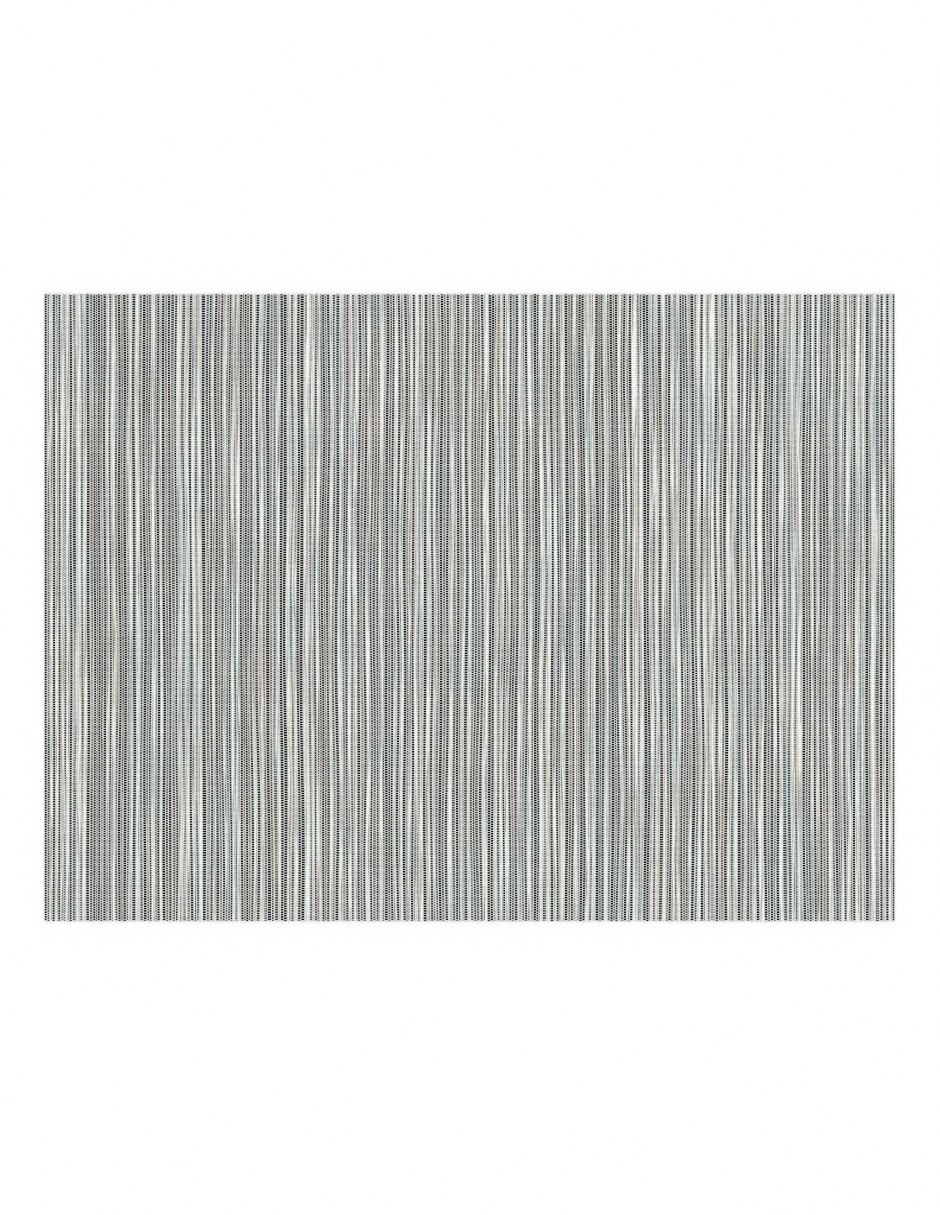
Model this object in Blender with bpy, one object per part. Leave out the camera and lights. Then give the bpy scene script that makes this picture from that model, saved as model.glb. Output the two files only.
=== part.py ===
"""Woven vinyl placemat, one flat oblong of cloth with raw-cut edges.

The mat lies flat with its long side along X and its short side along Y. Thick vinyl
yarns run across the short way, side by side, and stand up as fine ribs between the thin
threads that bind them. No two ribs have quite the same width, they drift a little
sideways as they cross the mat, and each is cut off at its own length at the two ends.
The cloth is one solid: the two faces of a rib slope up from the grooves to its crest.
The origin is on the table under the middle of the mat, +Z is up, sizes are in metres.
"""

import math
import random

import bmesh
import bpy

# Driving dimensions
MAT_LENGTH = 0.483
MAT_WIDTH = 0.356
MAT_THICKNESS = 0.0017
RIB_HEIGHT = 0.0004
RIB_COUNT = 275

# Unevenness of the weave
RIB_SEED = 41
RIB_WIDTH_SPREAD = 0.16
RIB_NARROWEST = 0.68
RIB_WIDEST = 1.35
DOUBLE_RIB_CHANCE = 0.05
DOUBLE_RIB_WIDTH = 1.65
CUT_UNEVENNESS = 0.00025
GROOVE_SETBACK = 0.00015
SIDE_WAVER = 0.00025
STATIONS = 8

# Sideways drift of the ribs: how far, waves along the mat's width, waves along its length, phase
DRIFT_WAVES = (
    (0.00040, 0.8, 1.7, 0.4),
    (0.00025, 1.9, -2.6, 2.1),
    (0.00022, 2.1, 21.0, 1.2),
    (0.00015, -2.6, 33.0, 4.0),
)
DRIFT_FADE_POWER = 8

# Finish
VINYL_COLOUR = (0.40, 0.40, 0.385, 1.0)
VINYL_ROUGHNESS = 0.5


def clear_scene():
    """Removes whatever the file was opened with."""
    for thing in list(bpy.data.objects):
        bpy.data.objects.remove(thing, do_unlink=True)


def vinyl_material():
    """Matt woven vinyl in the mean of its greys."""
    material = bpy.data.materials.new("woven_vinyl")
    material.use_nodes = True
    shader = material.node_tree.nodes["Principled BSDF"]
    shader.inputs["Base Color"].default_value = VINYL_COLOUR
    shader.inputs["Roughness"].default_value = VINYL_ROUGHNESS
    shader.inputs["Metallic"].default_value = 0.0
    return material


def rib_grooves():
    """The grooves between the ribs as places along X, the mat's two sides among them.

    Now and then a rib is two yarns that the same threads bind as one.
    """
    draw = random.Random(RIB_SEED)
    widths = []
    for _ in range(RIB_COUNT):
        width = min(max(draw.gauss(1.0, RIB_WIDTH_SPREAD), RIB_NARROWEST), RIB_WIDEST)
        if draw.random() < DOUBLE_RIB_CHANCE:
            width = DOUBLE_RIB_WIDTH
        widths.append(width)
    scale = MAT_LENGTH / sum(widths)
    grooves = [-MAT_LENGTH / 2]
    for width in widths:
        grooves.append(grooves[-1] + width * scale)
    grooves[-1] = MAT_LENGTH / 2
    return grooves


def drift(x, y):
    """How far the cloth's ribs stand sideways from straight at a place, nil at the sides."""
    across = y / MAT_WIDTH
    along = x / MAT_LENGTH
    shift = 0.0
    for size, waves_across, waves_along, phase in DRIFT_WAVES:
        turn = 2 * math.pi * (waves_across * across + waves_along * along) + phase
        shift += size * math.sin(turn)
    return shift * (1 - abs(2 * along) ** DRIFT_FADE_POWER)


def side_waver(y):
    """How far the raw side is cut in from the full length, nil at the middle of the side."""
    return SIDE_WAVER * math.sin(math.pi * y / MAT_WIDTH) ** 2


def rib_ends(draw):
    """How far each rib is cut short at one end of the mat, the middle one not at all."""
    ends = [draw.uniform(0.0, CUT_UNEVENNESS) for _ in range(RIB_COUNT)]
    ends[RIB_COUNT // 2] = 0.0
    return ends


def groove_ends(ends):
    """The setback of the grooves beside the ribs, always behind both of their neighbours."""
    first = ends[0] + GROOVE_SETBACK
    last = ends[-1] + GROOVE_SETBACK
    between = [max(a, b) + GROOVE_SETBACK for a, b in zip(ends, ends[1:])]
    return [first] + between + [last]


def column_places():
    """Columns of points from left to right: a groove, a crest, a groove, and so on.

    Each has its place along X, its height, and its setbacks at the near and far ends.
    """
    grooves = rib_grooves()
    draw = random.Random(RIB_SEED + 1)
    near_ribs = rib_ends(draw)
    far_ribs = rib_ends(draw)
    near_grooves = groove_ends(near_ribs)
    far_grooves = groove_ends(far_ribs)
    columns = []
    for number, x in enumerate(grooves):
        height = MAT_THICKNESS - RIB_HEIGHT
        columns.append((x, height, near_grooves[number], far_grooves[number]))
        if number < RIB_COUNT:
            crest = (x + grooves[number + 1]) / 2
            columns.append((crest, MAT_THICKNESS, near_ribs[number], far_ribs[number]))
    return columns


def column_points(column):
    """The points of one column from the near end of the mat to the far end."""
    x, height, near, far = column
    points = []
    for station in range(STATIONS):
        start = -MAT_WIDTH / 2 + near
        end = MAT_WIDTH / 2 - far
        y = start + (end - start) * station / (STATIONS - 1)
        place = x + drift(x, y)
        if x <= -MAT_LENGTH / 2:
            place += side_waver(y)
        if x >= MAT_LENGTH / 2:
            place -= side_waver(y)
        points.append((place, y, height))
    return points


def woven_mat():
    """The mat as one closed solid, ribbed above and flat below."""
    mesh = bmesh.new()
    top = []
    for column in column_places():
        top.append([mesh.verts.new(point) for point in column_points(column)])

    def foot(vert):
        return mesh.verts.new((vert.co.x, vert.co.y, 0.0))

    grooves = top[0::2]
    crests = top[1::2]
    left_feet = [foot(vert) for vert in grooves[0]]
    right_feet = [foot(vert) for vert in grooves[-1]]
    inner_feet = [[foot(groove[0]), foot(groove[-1])] for groove in grooves[1:-1]]
    feet = [left_feet] + inner_feet + [right_feet]

    for left, right in zip(top, top[1:]):
        for j in range(STATIONS - 1):
            mesh.faces.new((left[j], right[j], right[j + 1], left[j + 1]))
    for left, right in zip(feet, feet[1:]):
        mesh.faces.new(left + right[::-1])
    for j in range(STATIONS - 1):
        mesh.faces.new((left_feet[j], grooves[0][j], grooves[0][j + 1], left_feet[j + 1]))
        mesh.faces.new((right_feet[j + 1], grooves[-1][j + 1], grooves[-1][j], right_feet[j]))
    for number, crest in enumerate(crests):
        for end in (0, -1):
            left_foot = feet[number][end]
            right_foot = feet[number + 1][end]
            left_top = grooves[number][end]
            right_top = grooves[number + 1][end]
            mesh.faces.new((left_foot, right_foot, crest[end]))
            mesh.faces.new((left_foot, crest[end], left_top))
            mesh.faces.new((right_foot, right_top, crest[end]))

    bmesh.ops.recalc_face_normals(mesh, faces=mesh.faces[:])
    data = bpy.data.meshes.new("woven_mat")
    mesh.to_mesh(data)
    mesh.free()
    data.materials.append(vinyl_material())
    mat = bpy.data.objects.new("woven_mat", data)
    bpy.context.collection.objects.link(mat)
    return mat


clear_scene()
woven_mat()
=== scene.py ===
import math
import random

import bpy
import numpy as np
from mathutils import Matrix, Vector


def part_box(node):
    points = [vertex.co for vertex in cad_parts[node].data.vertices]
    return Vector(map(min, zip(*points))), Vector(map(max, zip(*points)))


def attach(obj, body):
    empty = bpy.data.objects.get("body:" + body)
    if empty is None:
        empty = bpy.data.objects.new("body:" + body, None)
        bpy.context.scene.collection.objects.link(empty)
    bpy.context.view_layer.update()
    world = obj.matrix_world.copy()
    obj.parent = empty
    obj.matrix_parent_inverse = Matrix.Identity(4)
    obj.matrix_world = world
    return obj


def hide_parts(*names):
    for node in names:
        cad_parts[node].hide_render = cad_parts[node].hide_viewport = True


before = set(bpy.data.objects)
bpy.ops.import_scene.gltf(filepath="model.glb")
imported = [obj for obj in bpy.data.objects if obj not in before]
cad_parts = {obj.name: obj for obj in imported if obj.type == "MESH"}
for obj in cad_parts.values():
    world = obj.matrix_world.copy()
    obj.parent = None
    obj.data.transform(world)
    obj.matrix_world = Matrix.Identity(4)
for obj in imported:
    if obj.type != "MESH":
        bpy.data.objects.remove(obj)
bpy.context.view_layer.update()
mat_low, mat_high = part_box("woven_mat")
mat_length, mat_width, mat_thickness = (high - low for low, high in zip(mat_low, mat_high))

# Camera. It looks straight down on the middle of the mat through a long lens, so that the
# cloth has the same scale all over, and it takes in the photograph's wide white margins.
PHOTO_HEIGHT_PX = 1215
PHOTO_CENTRE_PX = (470.0, 607.5)
MAT_CENTRE_PX = (469.5, 607.6)
MAT_LENGTH_PX = 850.6
LENS_MM = 100.0
SENSOR_MM = 36.0

metres_per_px = mat_length / MAT_LENGTH_PX
camera_data = bpy.data.cameras.new("overhead_camera")
camera_data.lens = LENS_MM
camera_data.sensor_width = SENSOR_MM
camera = bpy.data.objects.new("overhead_camera", camera_data)
camera.location = (
    (PHOTO_CENTRE_PX[0] - MAT_CENTRE_PX[0]) * metres_per_px,
    (MAT_CENTRE_PX[1] - PHOTO_CENTRE_PX[1]) * metres_per_px,
    mat_thickness + PHOTO_HEIGHT_PX * metres_per_px * LENS_MM / SENSOR_MM,
)
bpy.context.collection.objects.link(camera)
bpy.context.scene.camera = camera

# Studio. A white sweep under the mat and a soft dome of light, brightest overhead, where it
# reaches into the grooves of the weave. The picture is as contrasty as the photograph, and
# isn't smoothed, which would blur the weave.
FLOOR_SIDE = 12.0
FLOOR_WHITE = (0.93, 0.93, 0.93, 1.0)
DOME_STRENGTH = 1.09
PHOTO_GAMMA = 0.86
FLOOR_ROUGHNESS = 0.9

# The sine of a height over the horizon, and how bright the dome is there
DOME_STEPS = (
    (0.00, 0.45),
    (0.60, 0.75),
    (0.85, 1.20),
    (1.00, 1.60),
)


def add_node(tree, kind, inputs=(), **settings):
    """Puts a node in a tree, with its settings, and with values or wires into its inputs."""
    node = tree.nodes.new(kind)
    for name, value in settings.items():
        setattr(node, name, value)
    for key, value in dict(inputs).items():
        if isinstance(value, bpy.types.NodeSocket):
            tree.links.new(value, node.inputs[key])
        else:
            node.inputs[key].default_value = value
    return node


def ramp(tree, value, stops):
    """A colour ramp through the stops, each a place from 0 to 1 and a colour."""
    node = add_node(tree, "ShaderNodeValToRGB", {"Fac": value})
    while len(node.color_ramp.elements) < len(stops):
        node.color_ramp.elements.new(0.5)
    for element, (place, colour) in zip(node.color_ramp.elements, stops):
        element.position = place
        element.color = colour
    return node.outputs[0]


floor_mesh = bpy.data.meshes.new("studio_floor")
half_floor = FLOOR_SIDE / 2
floor_mesh.from_pydata(
    [(x, y, 0.0) for x, y in ((-1, -1), (1, -1), (1, 1), (-1, 1))],
    [],
    [(0, 1, 2, 3)],
)
for corner in floor_mesh.vertices:
    corner.co = corner.co * half_floor
floor = bpy.data.objects.new("studio_floor", floor_mesh)
bpy.context.collection.objects.link(floor)
floor_paint = bpy.data.materials.new("studio_white")
floor_paint.use_nodes = True
floor_shader = floor_paint.node_tree.nodes["Principled BSDF"]
floor_shader.inputs["Base Color"].default_value = FLOOR_WHITE
floor_shader.inputs["Roughness"].default_value = FLOOR_ROUGHNESS
floor_shader.inputs["Specular IOR Level"].default_value = 0.0
floor_mesh.materials.append(floor_paint)

dome = bpy.data.worlds.new("soft_dome")
dome.use_nodes = True
bpy.context.scene.world = dome
dome_tree = dome.node_tree
background = dome_tree.nodes["Background"]
background.inputs["Strength"].default_value = DOME_STRENGTH
direction = add_node(dome_tree, "ShaderNodeTexCoord").outputs["Generated"]
split = add_node(dome_tree, "ShaderNodeSeparateXYZ", {"Vector": direction})
dome_levels = [(height, (level, level, level, 1.0)) for height, level in DOME_STEPS]
glow = ramp(dome_tree, split.outputs["Z"], dome_levels)
dome_tree.links.new(glow, background.inputs["Color"])
bpy.context.scene.view_settings.view_transform = "Standard"
bpy.context.scene.view_settings.gamma = PHOTO_GAMMA
bpy.context.scene.cycles.use_denoising = False
bpy.context.scene.cycles.pixel_filter_type = "BOX"

# Ribs. Thick vinyl yarns lie side by side across the short way of the mat. Each is a black,
# charcoal, grey or pale strand between two pale ones, pressed into one flattened rod, which
# is extruded in one length and cut off raw at both ends.
RIB_COUNT = 275
RIB_SEED = 41
RIB_WIDTH_SPREAD = 0.16
RIB_NARROWEST = 0.68
RIB_WIDEST = 1.35
DOUBLE_RIB_CHANCE = 0.05
DOUBLE_RIB_WIDTH = 1.65
CUT_UNEVENNESS = 0.00025
RIB_HEIGHT = 0.00084
RIB_RINGS = 21
RIB_SIDES = 8
RIB_FILL = 0.98

# Sideways drift of the ribs: how far, waves along the mat's width, waves along its length, phase
DRIFT_WAVES = (
    (0.00040, 0.8, 1.7, 0.4),
    (0.00025, 1.9, -2.6, 2.1),
    (0.00022, 2.1, 21.0, 1.2),
    (0.00015, -2.6, 33.0, 4.0),
)
DRIFT_FADE_POWER = 8.0

# A yarn's tone from 0, black, to 1, white, how far its strands stray from it, and the share
# of its width that is the coloured strand, the rest being a pale strand on each side.
BLACK = (0.00, 0.18, 0.74)
CHARCOAL = (0.15, 0.60, 0.72)
GREY = (0.40, 1.10, 0.66)
PALE = (0.78, 1.10, 0.70)
PALE_STRAND = 0.92
PALE_STRAND_MARLING = 0.70
STRAND_BLUR = 0.05
DARKEST_MARL = 0.35
YARN_SEED = 7
YARN_GROUPS = (
    (BLACK, GREY),
    (BLACK, PALE),
    (BLACK, GREY, PALE),
    (BLACK, PALE, GREY, PALE),
    (CHARCOAL, PALE, GREY),
    (BLACK, BLACK, PALE, GREY, PALE),
    (BLACK, GREY, CHARCOAL, PALE),
)
RIGHT_SIDE_YARNS = [BLACK, PALE, CHARCOAL]

# The widest that a black or charcoal rib may be, in mean ribs
WIDEST_DARK_RIB = 1.4

# Noises along the ribs: millimetres across, millimetres along, detail, and seed. The first
# two move strands and streaks sideways, by lengths that STRAND_SWAY and STREAK_SWAY scale.
STRAY_GRAIN = (11.0, 70.0, 1.0, 3.0)
SWAY_GRAIN = (9.0, 56.0, 1.0, 3.0)
STREAK_GRAIN = (1.1, 90.0, 1.0, 11.0)
WARMTH_GRAIN = (3.0, 70.0, 0.0, 29.0)
STRAND_SWAY = 0.0042
STREAK_SWAY = 0.0036

# Finish. A shade is a tone and its colour, from 0 to 255 as on a screen. The warmth noise
# turns the cool shades into the warm ones between its two limits.
VINYL_ROUGHNESS = 0.5
VINYL_SHINE = 0.12
COOL_BELOW = 0.43
WARM_ABOVE = 0.59
COOL_SHADES = (
    (0.00, (10, 13, 18)),
    (0.12, (27, 32, 40)),
    (0.25, (52, 62, 69)),
    (0.40, (90, 99, 103)),
    (0.55, (136, 145, 148)),
    (0.70, (185, 193, 190)),
    (0.80, (231, 238, 232)),
    (1.00, (250, 252, 247)),
)
WARM_SHADES = (
    (0.00, (11, 12, 14)),
    (0.12, (29, 30, 31)),
    (0.25, (70, 62, 57)),
    (0.40, (109, 99, 91)),
    (0.55, (156, 146, 139)),
    (0.70, (199, 194, 186)),
    (0.80, (239, 237, 230)),
    (1.00, (252, 252, 248)),
)

# Sockets of a Mix node set to colours, by number, because several share one name
MIX_FACTOR = 0
MIX_FIRST = 6
MIX_SECOND = 7
MIX_RESULT = 2


def sum_up(tree, operation, *values):
    """One Math node's result. Its values are numbers or sockets."""
    node = add_node(tree, "ShaderNodeMath", enumerate(values), operation=operation)
    return node.outputs[0]


def wave_sum(tree, along, across, waves):
    """Adds up waves that run slantwise over the cloth, as one socket in metres."""
    total = 0.0
    for size, waves_across, waves_along, phase in waves:
        turn = sum_up(tree, "MULTIPLY_ADD", along, 2 * math.pi * waves_along, phase)
        turn = sum_up(tree, "MULTIPLY_ADD", across, 2 * math.pi * waves_across, turn)
        total = sum_up(tree, "MULTIPLY_ADD", sum_up(tree, "SINE", turn), size, total)
    return total


def edge_fade(tree, coordinate):
    """One over the cloth, falling to nothing at the two edges that the coordinate meets."""
    double = sum_up(tree, "ABSOLUTE", sum_up(tree, "MULTIPLY", coordinate, 2.0))
    return sum_up(tree, "SUBTRACT", 1.0, sum_up(tree, "POWER", double, DRIFT_FADE_POWER))


def drifted(tree, geometry, bow_waves=()):
    """Moves a tree's geometry sideways as the ribs drift, and up and down as threads bow."""
    place = add_node(tree, "GeometryNodeInputPosition").outputs[0]
    parts = add_node(tree, "ShaderNodeSeparateXYZ", {0: place})
    along = sum_up(tree, "DIVIDE", parts.outputs["X"], mat_length)
    across = sum_up(tree, "DIVIDE", parts.outputs["Y"], mat_width)
    drift = wave_sum(tree, along, across, DRIFT_WAVES)
    drift = sum_up(tree, "MULTIPLY", drift, edge_fade(tree, along))
    bow = wave_sum(tree, along, across, bow_waves)
    bow = sum_up(tree, "MULTIPLY", bow, edge_fade(tree, across))
    shift = add_node(tree, "ShaderNodeCombineXYZ", {"X": drift, "Y": bow})
    moved = add_node(
        tree, "GeometryNodeSetPosition", {"Geometry": geometry, "Offset": shift.outputs[0]}
    )
    return moved.outputs[0]


def geometry_tree(name, inputs):
    """A new tree of geometry nodes with named inputs, and its input node."""
    tree = bpy.data.node_groups.new(name, "GeometryNodeTree")
    tree.interface.new_socket("Geometry", in_out="INPUT", socket_type="NodeSocketGeometry")
    for label, kind in inputs:
        tree.interface.new_socket(label, in_out="INPUT", socket_type=kind)
    tree.interface.new_socket("Geometry", in_out="OUTPUT", socket_type="NodeSocketGeometry")
    return tree, tree.nodes.new("NodeGroupInput")


def end_tree(tree, geometry, material):
    """Smooth shading, real geometry and a material, as the last nodes of a tree."""
    smooth = add_node(tree, "GeometryNodeSetShadeSmooth", {"Geometry": geometry})
    real = add_node(tree, "GeometryNodeRealizeInstances", {0: smooth.outputs[0]})
    done = add_node(
        tree, "GeometryNodeSetMaterial", {"Geometry": real.outputs[0], "Material": material}
    )
    add_node(tree, "NodeGroupOutput", {0: done.outputs[0]})


def grown(name, mesh, tree, values):
    """Puts a tree on a mesh and keeps what it makes as a plain piece."""
    piece = bpy.data.objects.new(name, mesh)
    bpy.context.collection.objects.link(piece)
    growth = piece.modifiers.new("growth", "NODES")
    growth.node_group = tree
    for item in tree.interface.items_tree:
        if item.in_out == "INPUT" and item.name in values:
            growth[item.identifier] = values[item.name]
    graph = bpy.context.evaluated_depsgraph_get()
    result = bpy.data.meshes.new_from_object(piece.evaluated_get(graph))
    piece.modifiers.remove(growth)
    piece.data = result
    result.name = name
    bpy.data.meshes.remove(mesh)
    return piece


def lay_out(piece):
    """A flat layout of the cloth's faces for a painted map, top faces over bottom ones."""
    mesh = piece.data
    points = np.empty(len(mesh.vertices) * 3, np.float32)
    mesh.vertices.foreach_get("co", points)
    points = points.reshape(-1, 3)
    corners = np.empty(len(mesh.loops), np.int32)
    mesh.loops.foreach_get("vertex_index", corners)
    counts = np.empty(len(mesh.polygons), np.int32)
    mesh.polygons.foreach_get("loop_total", counts)
    normals = np.empty(len(mesh.polygons) * 3, np.float32)
    mesh.polygons.foreach_get("normal", normals)
    upward = np.repeat(normals.reshape(-1, 3)[:, 2] >= 0, counts)
    u = points[corners, 0] / mat_length + 0.5
    v = (points[corners, 1] / mat_width + 0.5 + upward) / 2
    layout = mesh.uv_layers.new(name="OFBake")
    flat = np.stack([np.clip(u, 0, 1), np.clip(v, 0, 1)], axis=1).astype(np.float32)
    layout.data.foreach_set("uv", flat.ravel())


def rib_grooves():
    """The grooves between the ribs as places along X, the mat's two sides among them.

    Now and then a rib is two yarns that the same threads bind as one.
    """
    draw = random.Random(RIB_SEED)
    widths = []
    for _ in range(RIB_COUNT):
        width = min(max(draw.gauss(1.0, RIB_WIDTH_SPREAD), RIB_NARROWEST), RIB_WIDEST)
        if draw.random() < DOUBLE_RIB_CHANCE:
            width = DOUBLE_RIB_WIDTH
        widths.append(width)
    scale = mat_length / sum(widths)
    grooves = [-mat_length / 2]
    for width in widths:
        grooves.append(grooves[-1] + width * scale)
    return grooves


def rib_ends(draw):
    """How far each rib is cut short at one end of the mat, the middle one not at all."""
    ends = [draw.uniform(0.0, CUT_UNEVENNESS) for _ in range(RIB_COUNT)]
    ends[RIB_COUNT // 2] = 0.0
    return ends


def yarns_in_order():
    """The yarn of each rib from left to right: groups drawn by chance, then the last ones."""
    draw = random.Random(YARN_SEED)
    yarns = []
    while len(yarns) < RIB_COUNT:
        yarns += draw.choice(YARN_GROUPS)
    return yarns[:RIB_COUNT - len(RIGHT_SIDE_YARNS)] + RIGHT_SIDE_YARNS


def screen_shades(shades):
    """Ramp stops for shades given from 0 to 255, by the usual curve of a screen's light."""
    stops = []
    for tone, colour in shades:
        shares = [part / 255 for part in colour]
        light = [s / 12.92 if s < 0.04045 else ((s + 0.055) / 1.055) ** 2.4 for s in shares]
        stops.append((tone, (*light, 1.0)))
    return stops


def stretched_noise(tree, place, across_mm, along_mm, detail, seed):
    """Noise drawn out along the ribs, from 0 to 1, at so many millimetres each way."""
    spread = (1000 / across_mm, 1000 / along_mm, 1000 / across_mm)
    mapped = add_node(
        tree,
        "ShaderNodeVectorMath",
        {0: place, 1: spread, 2: (seed, 0, 0)},
        operation="MULTIPLY_ADD",
    )
    noise = add_node(
        tree, "ShaderNodeTexNoise", {"Vector": mapped.outputs[0], "Scale": 1.0, "Detail": detail}
    )
    return noise.outputs[0]


def marled_vinyl():
    """Extruded vinyl yarn of several strands. Each rib has its own tone and marling."""
    material = bpy.data.materials.new("marled_vinyl")
    material.use_nodes = True
    tree = material.node_tree
    shader = tree.nodes["Principled BSDF"]
    shader.inputs["Roughness"].default_value = VINYL_ROUGHNESS
    shader.inputs["Specular IOR Level"].default_value = VINYL_SHINE

    place = add_node(tree, "ShaderNodeTexCoord").outputs["Object"]
    tone = add_node(tree, "ShaderNodeAttribute", attribute_name="yarn_tone").outputs["Fac"]
    marling = add_node(tree, "ShaderNodeAttribute", attribute_name="yarn_marling").outputs["Fac"]

    sway = stretched_noise(tree, place, *SWAY_GRAIN)
    sway = sum_up(tree, "MULTIPLY_ADD", sway, STREAK_SWAY, -STREAK_SWAY / 2)
    shift = add_node(tree, "ShaderNodeCombineXYZ", {"X": sway})
    swayed = add_node(tree, "ShaderNodeVectorMath", {0: place, 1: shift.outputs[0]})
    streak = stretched_noise(tree, swayed.outputs[0], *STREAK_GRAIN)
    streak = sum_up(tree, "SUBTRACT", streak, 0.5)
    shade = sum_up(tree, "MULTIPLY_ADD", streak, marling, tone)
    across = add_node(tree, "ShaderNodeAttribute", attribute_name="across").outputs["Fac"]
    core = add_node(tree, "ShaderNodeAttribute", attribute_name="core").outputs["Fac"]
    beside = add_node(tree, "ShaderNodeMapRange", {
        "Value": sum_up(tree, "ABSOLUTE", across),
        "From Min": sum_up(tree, "SUBTRACT", core, STRAND_BLUR),
        "From Max": sum_up(tree, "ADD", core, STRAND_BLUR),
    })
    pale = sum_up(tree, "MULTIPLY_ADD", streak, PALE_STRAND_MARLING, PALE_STRAND)
    change = sum_up(tree, "SUBTRACT", pale, shade)
    shade = sum_up(tree, "MULTIPLY_ADD", change, beside.outputs[0], shade)
    cool = ramp(tree, shade, screen_shades(COOL_SHADES))
    warm = ramp(tree, shade, screen_shades(WARM_SHADES))
    warmth = stretched_noise(tree, place, *WARMTH_GRAIN)
    warmth = ramp(tree, warmth, ((COOL_BELOW, (0, 0, 0, 1)), (WARM_ABOVE, (1, 1, 1, 1))))
    colour = add_node(
        tree,
        "ShaderNodeMix",
        {MIX_FACTOR: warmth, MIX_FIRST: cool, MIX_SECOND: warm},
        data_type="RGBA",
    )
    tree.links.new(colour.outputs[MIX_RESULT], shader.inputs["Base Color"])
    return material


def named(tree, name):
    """The numbers that a tree's points carry under a name."""
    node = add_node(tree, "GeometryNodeInputNamedAttribute", {"Name": name}, data_type="FLOAT")
    return node.outputs[0]


rib_tree, rib_in = geometry_tree("rib_growth", (
    ("Rings", "NodeSocketInt"),
    ("Sides", "NodeSocketInt"),
    ("Height", "NodeSocketFloat"),
    ("Middle", "NodeSocketFloat"),
    ("Sway", "NodeSocketFloat"),
))
rib_seeds = rib_in.outputs[0]
half_width = named(rib_tree, "half_width")
strand = add_node(
    rib_tree, "GeometryNodeCurvePrimitiveLine", {"Start": (0, -0.5, 0), "End": (0, 0.5, 0)}
)
strand = add_node(
    rib_tree,
    "GeometryNodeResampleCurve",
    {"Curve": strand.outputs[0], "Count": rib_in.outputs["Rings"]},
)
stretch = add_node(
    rib_tree, "ShaderNodeCombineXYZ", {"X": 1.0, "Y": named(rib_tree, "rib_length"), "Z": 1.0}
)
placed = add_node(
    rib_tree,
    "GeometryNodeInstanceOnPoints",
    {"Points": rib_seeds, "Instance": strand.outputs[0], "Scale": stretch.outputs[0]},
)
laid = add_node(rib_tree, "GeometryNodeRealizeInstances", {0: placed.outputs[0]})
outline = add_node(
    rib_tree,
    "GeometryNodeCurvePrimitiveCircle",
    {"Resolution": rib_in.outputs["Sides"], "Radius": 1.0},
)
rod = add_node(
    rib_tree,
    "GeometryNodeCurveToMesh",
    {
        "Curve": laid.outputs[0],
        "Profile Curve": outline.outputs[0],
        "Scale": half_width,
        "Fill Caps": True,
    },
)
rod_place = add_node(rib_tree, "GeometryNodeInputPosition").outputs[0]
rod_parts = add_node(rib_tree, "ShaderNodeSeparateXYZ", {0: rod_place})
half_height = sum_up(rib_tree, "MULTIPLY", rib_in.outputs["Height"], 0.5)
rod_z = sum_up(rib_tree, "DIVIDE", rod_parts.outputs["Z"], half_width)
rod_z = sum_up(rib_tree, "MULTIPLY_ADD", rod_z, half_height, rib_in.outputs["Middle"])
rod_point = add_node(
    rib_tree,
    "ShaderNodeCombineXYZ",
    {"X": rod_parts.outputs["X"], "Y": rod_parts.outputs["Y"], "Z": rod_z},
)
flat_rod = add_node(
    rib_tree,
    "GeometryNodeSetPosition",
    {"Geometry": rod.outputs[0], "Position": rod_point.outputs[0]},
).outputs[0]

# Where the strands of a grey or pale rib stray to the place of the next one, they take its
# looks. Black and charcoal ribs never stray.
stray = stretched_noise(rib_tree, rod_place, *STRAY_GRAIN)
stray = sum_up(rib_tree, "SUBTRACT", stray, 0.5)
stray = sum_up(rib_tree, "MULTIPLY_ADD", stray, rib_in.outputs["Sway"], rod_parts.outputs["X"])
stray_place = add_node(rib_tree, "ShaderNodeCombineXYZ", {"X": stray})
nearest = add_node(
    rib_tree,
    "GeometryNodeSampleNearest",
    {"Geometry": rib_seeds, "Sample Position": stray_place.outputs[0]},
    domain="POINT",
)
is_marled = sum_up(rib_tree, "GREATER_THAN", named(rib_tree, "tone"), DARKEST_MARL)
across = sum_up(rib_tree, "SUBTRACT", rod_parts.outputs["X"], named(rib_tree, "centre"))
yarn_looks = {"across": sum_up(rib_tree, "DIVIDE", across, half_width)}
for own, strayed in (("tone", "pale_tone"), ("marling", "pale_marling")):
    sampled = add_node(
        rib_tree,
        "GeometryNodeSampleIndex",
        {"Geometry": rib_seeds, "Value": named(rib_tree, strayed), "Index": nearest.outputs[0]},
        data_type="FLOAT",
        domain="POINT",
    )
    change = sum_up(rib_tree, "SUBTRACT", sampled.outputs[0], named(rib_tree, own))
    mixed = sum_up(rib_tree, "MULTIPLY_ADD", change, is_marled, named(rib_tree, own))
    yarn_looks[f"yarn_{own}"] = mixed
for name, value in yarn_looks.items():
    flat_rod = add_node(
        rib_tree,
        "GeometryNodeStoreNamedAttribute",
        {"Geometry": flat_rod, "Name": name, "Value": value},
        data_type="FLOAT",
        domain="POINT",
    ).outputs[0]
end_tree(rib_tree, drifted(rib_tree, flat_rod), marled_vinyl())

grooves = rib_grooves()
end_draw = random.Random(RIB_SEED + 1)
near_cuts = rib_ends(end_draw)
far_cuts = rib_ends(end_draw)
rib_places = [(a + b) / 2 for a, b in zip(grooves, grooves[1:])]
rib_mesh = bpy.data.meshes.new("rib_seeds")
rib_mesh.from_pydata(
    [(x, (near - far) / 2, 0.0) for x, near, far in zip(rib_places, near_cuts, far_cuts)], [], []
)

# A rib that two yarns make is never a black or charcoal one.
yarns = yarns_in_order()
widest_dark = WIDEST_DARK_RIB * mat_length / RIB_COUNT
for number, (left, right) in enumerate(zip(grooves, grooves[1:])):
    if right - left > widest_dark and yarns[number][0] < DARKEST_MARL:
        yarns[number] = GREY

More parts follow.
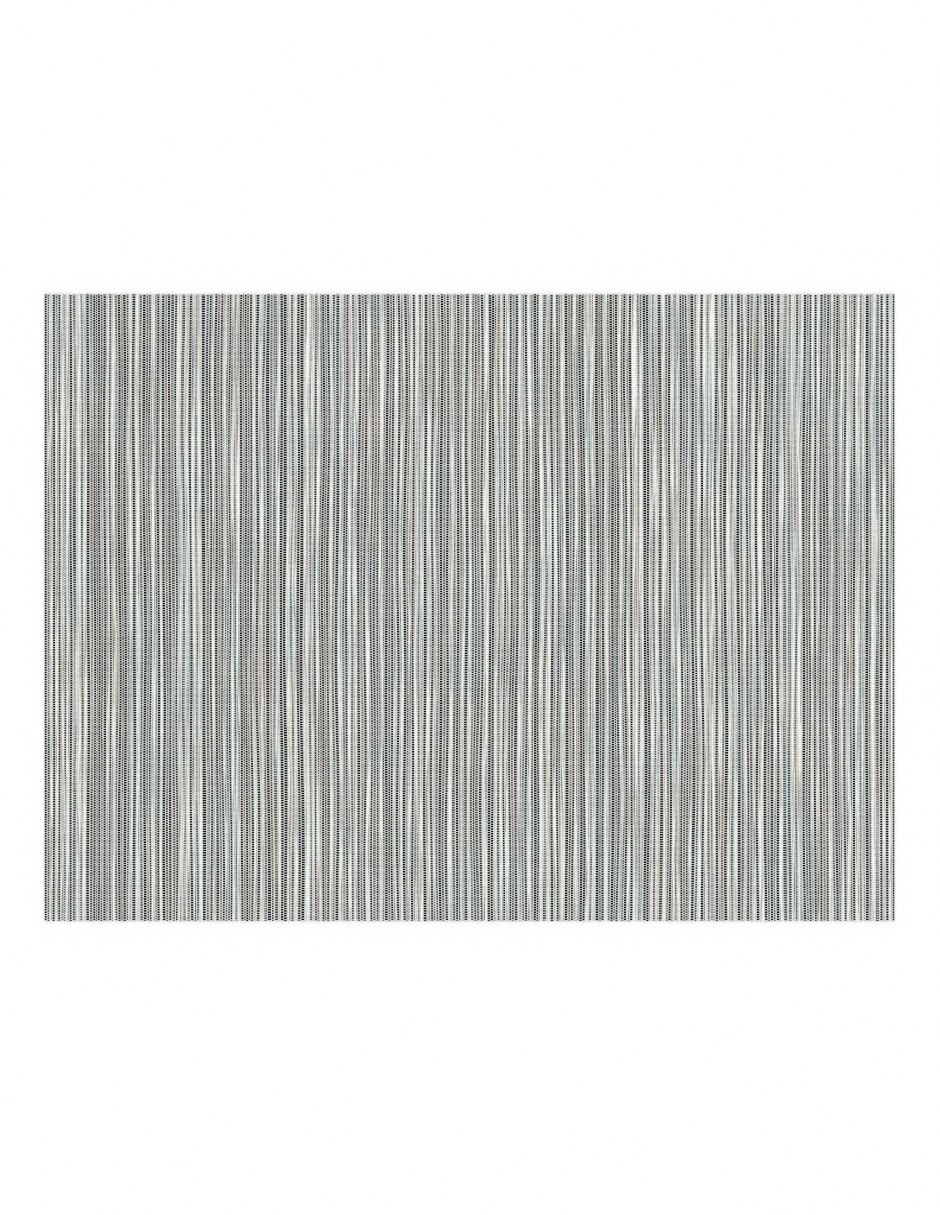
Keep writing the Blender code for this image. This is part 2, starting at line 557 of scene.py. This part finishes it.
# What a stray strand takes from each rib's place: the looks of a grey rib where it is dark.
pale_yarns = [yarn if yarn[0] > DARKEST_MARL else GREY for yarn in yarns]
rib_facts = {
    "centre": rib_places,
    "half_width": [RIB_FILL * (b - a) / 2 for a, b in zip(grooves, grooves[1:])],
    "rib_length": [mat_width - near - far for near, far in zip(near_cuts, far_cuts)],
    "tone": [tone for tone, _, _ in yarns],
    "marling": [marling for _, marling, _ in yarns],
    "core": [core for _, _, core in yarns],
    "pale_tone": [tone for tone, _, _ in pale_yarns],
    "pale_marling": [marling for _, marling, _ in pale_yarns],
}
for name, values in rib_facts.items():
    fact = rib_mesh.attributes.new(name, "FLOAT", "POINT")
    fact.data.foreach_set("value", values)
ribs = grown("ribs", rib_mesh, rib_tree, {
    "Rings": RIB_RINGS,
    "Sides": RIB_SIDES,
    "Height": RIB_HEIGHT,
    "Middle": mat_thickness / 2,
    "Sway": STRAND_SWAY,
})
lay_out(ribs)
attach(ribs, "root")
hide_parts("woven_mat")

# Binding threads. Fine off-white coated threads run the long way of the mat, over one rib
# and under the next, each opposite to its neighbours, and hold the ribs together. Each is a
# three-sided rod with its flat side up.
THREAD_COUNT = 528
THREAD_WIDTH = 0.00036
THREAD_THICKNESS = 0.00042
THREADS_PER_BAND = 88
THREAD_SIDES = 3
THREAD_PROFILE_TURN = math.radians(90)

# Width and height of a three-sided outline whose corners are 1 from its centre
TRIANGLE_WIDTH = math.sqrt(3)
TRIANGLE_HEIGHT = 1.5

# Finish, in the same columns as the ribs' noises and shades
THREAD_ROUGHNESS = 0.6
THREAD_SHINE = 0.25
WORN_GRAIN = (5.0, 3.0, 2.0, 5.0)
THREAD_SHADES = (
    (0.35, (228, 230, 229)),
    (0.65, (245, 247, 245)),
)

# Slow bends of the threads along the mat's width, in the same columns as the ribs' drift
BOW_WAVES = (
    (0.00005, 0.35, 0.7, 1.1),
    (0.00003, 1.2, -1.6, 0.3),
)


def thread_vinyl():
    """Dull off-white coated thread."""
    material = bpy.data.materials.new("binding_thread")
    material.use_nodes = True
    tree = material.node_tree
    shader = tree.nodes["Principled BSDF"]
    shader.inputs["Roughness"].default_value = THREAD_ROUGHNESS
    shader.inputs["Specular IOR Level"].default_value = THREAD_SHINE
    place = add_node(tree, "ShaderNodeTexCoord").outputs["Object"]
    worn = stretched_noise(tree, place, *WORN_GRAIN)
    colour = ramp(tree, worn, screen_shades(THREAD_SHADES))
    tree.links.new(colour, shader.inputs["Base Color"])
    return material


thread_tree, thread_in = geometry_tree("thread_growth", (
    ("Pairs", "NodeSocketInt"),
    ("Pitch", "NodeSocketFloat"),
    ("First", "NodeSocketFloat"),
    ("Sides", "NodeSocketInt"),
    ("Width", "NodeSocketFloat"),
    ("Thickness", "NodeSocketFloat"),
    ("Turn", "NodeSocketFloat"),
))
pair_pitch = sum_up(thread_tree, "MULTIPLY", thread_in.outputs["Pitch"], 2.0)
pair_step = add_node(thread_tree, "ShaderNodeCombineXYZ", {"Y": pair_pitch})
pair_start = add_node(thread_tree, "ShaderNodeCombineXYZ", {"Y": thread_in.outputs["First"]})
row = add_node(
    thread_tree,
    "GeometryNodeMeshLine",
    {
        "Count": thread_in.outputs["Pairs"],
        "Start Location": pair_start.outputs[0],
        "Offset": pair_step.outputs[0],
    },
)
pairs = add_node(
    thread_tree,
    "GeometryNodeInstanceOnPoints",
    {"Points": row.outputs[0], "Instance": thread_in.outputs[0]},
)
woven = add_node(thread_tree, "GeometryNodeRealizeInstances", {0: pairs.outputs[0]})
woven = drifted(thread_tree, woven.outputs[0], BOW_WAVES)
path = add_node(thread_tree, "GeometryNodeMeshToCurve", {"Mesh": woven})
upright = add_node(thread_tree, "GeometryNodeSetCurveNormal", {0: path.outputs[0]}, mode="Z_UP")
across_scale = sum_up(thread_tree, "MULTIPLY", thread_in.outputs["Width"], 1 / TRIANGLE_WIDTH)
height_scale = sum_up(thread_tree, "DIVIDE", thread_in.outputs["Thickness"], TRIANGLE_HEIGHT)
thread_size = add_node(
    thread_tree, "ShaderNodeCombineXYZ", {"X": across_scale, "Y": height_scale, "Z": 1.0}
)
thread_outline = add_node(
    thread_tree,
    "GeometryNodeCurvePrimitiveCircle",
    {"Resolution": thread_in.outputs["Sides"], "Radius": 1.0},
)
thread_turn = add_node(thread_tree, "ShaderNodeCombineXYZ", {"Z": thread_in.outputs["Turn"]})
thread_outline = add_node(
    thread_tree,
    "GeometryNodeTransform",
    {"Geometry": thread_outline.outputs[0], "Rotation": thread_turn.outputs[0]},
)
thread_outline = add_node(
    thread_tree,
    "GeometryNodeTransform",
    {"Geometry": thread_outline.outputs[0], "Scale": thread_size.outputs[0]},
)
thread_rod = add_node(
    thread_tree,
    "GeometryNodeCurveToMesh",
    {
        "Curve": upright.outputs[0],
        "Profile Curve": thread_outline.outputs[0],
        "Fill Caps": True,
    },
)
end_tree(thread_tree, thread_rod.outputs[0], thread_vinyl())

thread_pitch = mat_width / THREAD_COUNT
thread_reach = RIB_HEIGHT / 2 + THREAD_THICKNESS / 2

# The outline's centre is a third of its height under its flat top, so a sixth over its middle.
thread_middle = mat_thickness / 2 + THREAD_THICKNESS / 6


def thread_pair():
    """Two neighbouring threads as lines: one starts over the first rib, the other under it."""
    xs = [-mat_length / 2] + rib_places + [mat_length / 2]
    mesh = bpy.data.meshes.new("thread_pair")
    points = []
    edges = []
    for number in (0, 1):
        for i, x in enumerate(xs):
            side = 1 if (i + number) % 2 else -1
            if i in (0, len(xs) - 1):
                side = 0
            points.append((x, number * thread_pitch, thread_middle + side * thread_reach))
        start = number * len(xs)
        edges += [(start + i, start + i + 1) for i in range(len(xs) - 1)]
    mesh.from_pydata(points, edges, [])
    return mesh


for band in range(THREAD_COUNT // THREADS_PER_BAND):
    first = (band * THREADS_PER_BAND + 0.5) * thread_pitch - mat_width / 2
    threads = grown(f"binding_threads_{band + 1}", thread_pair(), thread_tree, {
        "Pairs": THREADS_PER_BAND // 2,
        "Pitch": thread_pitch,
        "First": first,
        "Sides": THREAD_SIDES,
        "Width": THREAD_WIDTH,
        "Thickness": THREAD_THICKNESS,
        "Turn": THREAD_PROFILE_TURN,
    })
    lay_out(threads)
    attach(threads, "root")
